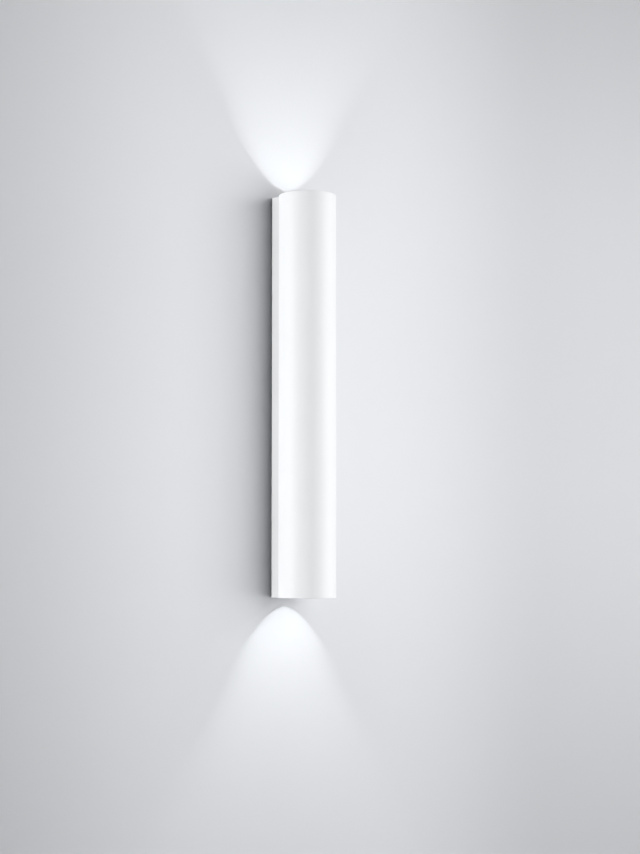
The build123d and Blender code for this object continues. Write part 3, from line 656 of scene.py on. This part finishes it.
def bowl_radius(t):
    """The reflector's inner radius, without facets, from its throat at t = 0 to its mouth at t = 1."""
    return REFLECTOR_THROAT + (REFLECTOR_MOUTH - REFLECTOR_THROAT) * t + 4 * REFLECTOR_BOW * t * (1 - t)


def make_dam(end):
    """The silicone dam round the phosphor: a half ellipse (c + a cos t, b sin t) turned round the axis."""
    t = np.linspace(0.0, np.pi, DAM_STEPS)
    radii = DAM_RADIUS + DAM_HALF_WIDTH * np.cos(t)
    heights = BOARD_FACE + DAM_HEIGHT * np.sin(t)
    points = on_axis(turned(radii, heights, DAM_COLUMNS), end)
    skin(f"{end}_phosphor_dam", [points], "white_plastic")


def collar(inner, outer, height):
    """The section of a collar whose outside narrows towards its top, with eased edges, closed on itself."""
    top = inner + COLLAR_TOP * (outer - inner)
    waist = (outer, height / 2)
    return rounded([waist, (top, height), (inner, height), (inner, 0.0), (outer, 0.0), waist], COLLAR_EASE)


def make_collars(name, finish, inner, outer, height, places, turn=1):
    """Collars round leads where they enter a piece, standing up, or hanging down where the turn is -1."""
    section = collar(inner, outer, height)
    points = turned(section[:, 0], section[:, 1], COLLAR_COLUMNS) * (turn, 1, turn)
    skin(name, [points + np.array(place) for place in places], finish)


def make_lead_collars():
    """Collars where the leads enter the terminal block and the driver."""
    rear = (BLOCK_LOW[1] + BLOCK_HIGH[1]) / 2
    middle = (DRIVER_LOW[1] + DRIVER_HIGH[1]) / 2
    supply_hole, led_hole = SUPPLY_LEAD + COLLAR_GAP, LED_LEAD + COLLAR_GAP
    make_collars("terminal_ferrules", "white_plastic", supply_hole, FERRULE_OUTER, FERRULE_HEIGHT,
                 [(x, rear, BLOCK_HIGH[2]) for x in SUPPLY_LEAD_PLACES])
    make_collars("driver_supply_collars", "black_rubber", supply_hole, SUPPLY_COLLAR_OUTER, COLLAR_HEIGHT,
                 [(x, middle, DRIVER_END) for x in SUPPLY_LEAD_PLACES])
    for end, side in ENDS.items():
        make_collars(f"{end}_driver_led_collar", "black_rubber", led_hole, LED_COLLAR_OUTER, COLLAR_HEIGHT,
                     [(-side * LED_LEAD_SIDE, middle, side * DRIVER_END)], side)


def make_pole_screws():
    """A slotted clamp screw in each pole's well.

    The head is a turned profile, cut off at its top less the slot's depth times a step that is 1 within half
    the slot's width of its centre line and falls smoothly to 0.
    """
    radius, height = POLE_SCREW_RADIUS, POLE_SCREW_HEIGHT
    shoulder = rounded([(0, 0), (radius, 0), (radius, height), (0, height)], COLLAR_EASE)[:-1]
    top = np.linspace(shoulder[-1, 0], 0.0, POLE_SCREW_TOP_ROWS)[1:]
    profile = np.concatenate([shoulder, np.stack([top, np.full(len(top), height)], axis=-1)])
    points = turned(profile[:, 0], profile[:, 1], POLE_SCREW_COLUMNS)
    ramp = np.clip((SLOT_HALF_WIDTH + SLOT_STEP - np.abs(points[..., 1])) / SLOT_STEP, 0.0, 1.0)
    step = ramp * ramp * (3 - 2 * ramp)
    points[..., 2] = np.minimum(points[..., 2], height - SLOT_DEPTH * step)
    x = -(BLOCK_HIGH[0] - BLOCK_LOW[0]) / SCREW_WELL_SIDE
    well_floor = BLOCK_HIGH[1] - (BLOCK_HIGH[1] - BLOCK_LOW[1]) / ENTRY_DEPTH
    screws = [facing_back(points, (x, well_floor, z)) for z in pole_heights()]
    skin("terminal_pole_screws", screws, "bright_steel", close_rows=False)


def pole_heights():
    """Heights of the terminal block's poles."""
    middle = (BLOCK_LOW[2] + BLOCK_HIGH[2]) / 2
    return [middle + number * POLE_PITCH for number in (-1, 0, 1)]


def make_pole_sleeves():
    """A brass sleeve in each wire entry, in the block's left side, with a flared mouth."""
    outer, inner, length = POLE_SLEEVE_OUTER, POLE_SLEEVE_INNER, POLE_SLEEVE_LENGTH
    waist = (outer, length / 2)
    ring = [waist, (outer, length), (outer - COLLAR_EASE, length), (inner, length - POLE_SLEEVE_FLARE),
            (inner, 0.0), (outer, 0.0), waist]
    section = rounded(ring, POLE_SLEEVE_EASE)
    points = turned(section[:, 0], section[:, 1], COLLAR_COLUMNS)
    across = np.stack([-points[..., 2], points[..., 1], points[..., 0]], axis=-1)
    y = BLOCK_LOW[1] + (BLOCK_HIGH[1] - BLOCK_LOW[1]) / ENTRY_DEPTH
    x = BLOCK_LOW[0] / 2 - COLLAR_GAP
    skin("terminal_sleeves", [across + (x, y, z) for z in pole_heights()], "brass")


def make_driver_lid():
    """The driver's lid: a rounded oblong plate on its front.

    Its outline is (a s cos t, b s sin t) with s = (|cos t|^n + |sin t|^n)^(-1/n), and its rows go from the
    plate's middle behind, out, up its side and back to its middle in front.
    """
    t = np.linspace(0.0, 2 * np.pi, LID_COLUMNS, endpoint=False)
    reach = (np.abs(np.cos(t)) ** LID_POWER + np.abs(np.sin(t)) ** LID_POWER) ** (-1 / LID_POWER)
    half_width = DRIVER_HIGH[0] - LID_MARGIN
    half_height = DRIVER_END - LID_MARGIN
    plate = [(0, 0), (half_width, 0), (half_width, LID_THICKNESS), (0, LID_THICKNESS)]
    plate = rounded(plate, LID_EDGE)
    share = plate[:, :1] / half_width
    rise = np.broadcast_to(plate[:, 1:], (len(plate), len(t)))
    points = np.stack([share * half_width * reach * np.cos(t), DRIVER_LOW[1] - rise,
                       share * half_height * reach * np.sin(t)], axis=-1)
    skin("driver_lid", [points], "white_plastic", close_rows=False)


# ---- backdrop, camera and lights -----------------------------------------------------------------
def flat_sheet(name, corners, faces, material):
    """A backdrop sheet between corners, facing by the right-hand rule."""
    mesh = bpy.data.meshes.new(name)
    mesh.from_pydata(corners, [], faces)
    mesh.materials.append(material)
    made = bpy.data.objects.new(name, mesh)
    bpy.context.scene.collection.objects.link(made)


def kept_share(tree, place, middle, fade, loss):
    """One less the loss, which grows smoothly from the nearer to the further distance from the middle."""
    away = maths(tree, "ABSOLUTE", maths(tree, "SUBTRACT", place, middle))
    limits = {"From Min": fade[0], "From Max": fade[1], "To Min": 1.0, "To Max": 1.0 - loss}
    span = add(tree, "ShaderNodeMapRange", limits, interpolation_type="SMOOTHSTEP")
    wire(tree, away, span.inputs["Value"])
    return span.outputs["Result"]


def wall_paint():
    """Matt wall paint that is seen from the front only, with painted light: its colour is brightest near the
    lamp and painted darker away from it.

    From behind the wall is clear, and no lamp is shaded by it, so the lamps behind it still light the part.
    """
    finish = Finish("wall_paint", Roughness=0.9, Specular_IOR_Level=0.2)
    tree = finish.tree
    split = add(tree, "ShaderNodeSeparateXYZ")
    wire(tree, finish.place, split.inputs["Vector"])
    # painted light: the colour is kept full near the lamp and painted darker to the sides and up and down, as
    # painted shade
    across = kept_share(tree, split.outputs["X"], 0.0, WALL_SIDE_FADE, WALL_SIDE_PAINTED_SHADE)
    upright = kept_share(tree, split.outputs["Z"], WALL_PAINTED_LIGHT_HEIGHT, WALL_END_FADE, WALL_END_PAINTED_SHADE)
    kept = maths(tree, "MULTIPLY", across, upright)
    paint = add(tree, "ShaderNodeVectorMath", {0: WALL_COLOUR}, operation="SCALE")
    wire(tree, kept, paint.inputs["Scale"])
    wire(tree, paint.outputs["Vector"], finish.shader.inputs["Base Color"])
    behind = add(finish.tree, "ShaderNodeNewGeometry").outputs["Backfacing"]
    shadow = add(finish.tree, "ShaderNodeLightPath").outputs["Is Shadow Ray"]
    let_through(finish.tree, finish.shader, maths(finish.tree, "MAXIMUM", behind, shadow))
    return finish.material


def floor_paint():
    """Plain pale floor: where it is seen or reflected, most of its tone is the background's own."""
    finish = Finish("floor_paint", Roughness=0.85, Specular_IOR_Level=0.2)
    tree = finish.tree
    slow = finish.placed(MOTTLE, Patches_per_metre=1.5)
    finish.colour(slow.outputs["Mask"], FLOOR_COLOUR, tuple(FLOOR_CHANGE * c for c in FLOOR_COLOUR))
    pale = add(tree, "ShaderNodeEmission", {"Color": (*PALE_BACKGROUND, 1), "Strength": 1.0})
    both = add(tree, "ShaderNodeMixShader")
    wire(tree, maths(tree, "MULTIPLY", seen_directly(tree), FLOOR_OWN_TONE), both.inputs["Fac"])
    wire(tree, finish.shader.outputs["BSDF"], both.inputs[1])
    wire(tree, pale.outputs["Emission"], both.inputs[2])
    wire(tree, both.outputs["Shader"], tree.nodes["Material Output"].inputs["Surface"])
    return finish.material


def seen_directly(tree):
    """1 for what the camera sees, straight, in a reflection or through glass."""
    path = add(tree, "ShaderNodeLightPath").outputs
    seen = maths(tree, "MAXIMUM", path["Is Camera Ray"], path["Is Transmission Ray"])
    return maths(tree, "MAXIMUM", seen, path["Is Glossy Ray"])


def make_backdrop():
    """The wall behind the lamp, and a floor far below it."""
    half, low, high = WALL_HALF_WIDTH, FLOOR_HEIGHT, WALL_TOP
    outside = [(-half, 0, low), (half, 0, low), (half, 0, high), (-half, 0, high)]
    side, end = HATCH_HALF_WIDTH, HATCH_HALF_HEIGHT
    inside = [(-side, 0, -end), (side, 0, -end), (side, 0, end), (-side, 0, end)]
    round_hatch = [(n, (n + 1) % 4, (n + 1) % 4 + 4, n + 4) for n in range(4)]
    flat_sheet("wall", outside + inside, round_hatch, wall_paint())
    reach = FLOOR_REACH
    corners = [(-reach, -reach, low), (reach, -reach, low), (reach, reach, low), (-reach, reach, low)]
    flat_sheet("floor", corners, [(0, 1, 2, 3)], floor_paint())


def make_camera():
    """The photograph's camera."""
    data = bpy.data.cameras.new("camera")
    data.lens = CAMERA_LENS
    data.clip_start = CAMERA_NEAR
    camera = bpy.data.objects.new("camera", data)
    bpy.context.scene.collection.objects.link(camera)
    camera.location = (-CAMERA_DISTANCE * math.sin(CAMERA_SWING),
                       AXIS_Y - CAMERA_DISTANCE * math.cos(CAMERA_SWING), CAMERA_HEIGHT)
    heading = CAMERA_SWING + CAMERA_YAW
    level = math.cos(CAMERA_PITCH)
    ahead = Vector((math.sin(heading) * level, math.cos(heading) * level, math.sin(CAMERA_PITCH)))
    camera.rotation_euler = ahead.to_track_quat("-Z", "Y").to_euler()
    bpy.context.scene.camera = camera


def soft_light(name, angle, distance, height, width, length, power, bounces=None):
    """A soft rectangular lamp beside the tube, facing its middle, that the camera doesn't see.

    A lamp with no bounces lights only what it shines on itself.
    """
    data = bpy.data.lights.new(name, "AREA")
    data.shape = "RECTANGLE"
    data.size = width
    data.size_y = length
    data.energy = power
    if bounces is not None:
        data.cycles.max_bounces = bounces
    made = bpy.data.objects.new(name, data)
    bpy.context.scene.collection.objects.link(made)
    turn = math.radians(angle)
    place = Vector((distance * math.sin(turn), AXIS_Y - distance * math.cos(turn), height))
    middle = Vector((0, AXIS_Y, 0))
    made.location = place
    made.rotation_euler = (middle - place).to_track_quat("-Z", "Y").to_euler()
    made.visible_camera = False


def make_room_light():
    """Soft studio light: a wide key from the front, and weaker lamps at the sides and behind."""
    for name, settings in SOFT_LIGHTS.items():
        soft_light(name, **settings)


def make_world():
    """Even pale surroundings: dim as a light, and a pale background where they are seen or reflected."""
    world = bpy.data.worlds.new("surroundings")
    bpy.context.scene.world = world
    world.use_nodes = True
    tree = world.node_tree
    dim = tree.nodes["Background"]
    dim.inputs["Color"].default_value = (*WORLD_COLOUR, 1)
    dim.inputs["Strength"].default_value = WORLD_STRENGTH
    pale = add(tree, "ShaderNodeBackground", {"Color": (*PALE_BACKGROUND, 1), "Strength": 1.0})
    both = add(tree, "ShaderNodeMixShader")
    wire(tree, seen_directly(tree), both.inputs["Fac"])
    wire(tree, dim.outputs["Background"], both.inputs[1])
    wire(tree, pale.outputs["Background"], both.inputs[2])
    wire(tree, both.outputs["Shader"], tree.nodes["World Output"].inputs["Surface"])


def shape_beam(light):
    """Give the beam the optic's distribution: it fades evenly up the wall, and towards the fan's edge.

    A ray's direction is x to the side, y towards the wall and z along the tube. With the wall at the distance
    a, it meets the wall at the height h = a z / y, and the fan's edge is at s = 1, where
    s^2 = x^2 / ((slope z)^2 - y^2). The intensity is exp((start - h) / fade) (1 - loss(h) s^3) / y^3.
    """
    light.use_nodes = True
    tree = light.node_tree
    emission = tree.nodes["Emission"]
    split = add(tree, "ShaderNodeSeparateXYZ")
    wire(tree, add(tree, "ShaderNodeTexCoord").outputs["Normal"], split.inputs["Vector"])
    side = split.outputs["X"]
    to_wall = maths(tree, "MAXIMUM", split.outputs["Y"], LEAST_TO_WALL)
    along = maths(tree, "ABSOLUTE", split.outputs["Z"])
    height = maths(tree, "DIVIDE", maths(tree, "MULTIPLY", along, -AXIS_Y), to_wall)
    risen = maths(tree, "DIVIDE", maths(tree, "SUBTRACT", BEAM_START, height), BEAM_FADE)
    fade = maths(tree, "EXPONENT", risen)
    rim = maths(tree, "POWER", maths(tree, "MULTIPLY", along, RIM_SLOPE), 2.0)
    room = maths(tree, "SUBTRACT", rim, maths(tree, "POWER", to_wall, 2.0))
    room = maths(tree, "MAXIMUM", room, LEAST_ROOM)
    across = maths(tree, "DIVIDE", maths(tree, "MULTIPLY", side, side), room)
    loss = add(tree, "ShaderNodeMapRange", {"From Min": BEAM_HEIGHTS[0], "From Max": BEAM_HEIGHTS[1],
                                            "To Min": BEAM_EDGE_LOSS[0], "To Max": BEAM_EDGE_LOSS[1]})
    wire(tree, height, loss.inputs["Value"])
    near_edge = maths(tree, "MINIMUM", maths(tree, "POWER", across, 1.5), 1.0)
    inside = maths(tree, "SUBTRACT", 1.0, maths(tree, "MULTIPLY", near_edge, loss.outputs["Result"]))
    inside = maths(tree, "MAXIMUM", inside, 0.0)
    strength = maths(tree, "MULTIPLY", fade, inside)
    strength = maths(tree, "DIVIDE", strength, maths(tree, "POWER", to_wall, 3.0))
    wire(tree, strength, emission.inputs["Strength"])


def make_beams():
    """The lamp's own light: a spot at each LED, whose sharp edge on the wall the tube's rim cuts."""
    for end, side in ENDS.items():
        data = bpy.data.lights.new(f"{end}_beam", "SPOT")
        data.spot_size = 2 * BEAM_HALF_ANGLE
        data.spot_blend = 0
        data.energy = BEAM_POWER[end]
        data.color = BEAM_COLOUR
        data.shadow_soft_size = BEAM_SOURCE
        shape_beam(data)
        beam = bpy.data.objects.new(data.name, data)
        bpy.context.scene.collection.objects.link(beam)
        beam.location = (0, AXIS_Y, side * LED_FACE)
        beam.rotation_euler = (0, math.pi if side > 0 else 0, 0)
        beam.visible_camera = False
        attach(beam, "lamp")


finish_nodes()
for end in ENDS:
    make_reflector(end)
    make_dam(end)
make_lead_collars()
make_pole_screws()
make_pole_sleeves()
make_driver_lid()
make_backdrop()
make_camera()
make_room_light()
make_world()
make_beams()
bpy.context.scene.view_settings.view_transform = "Standard"
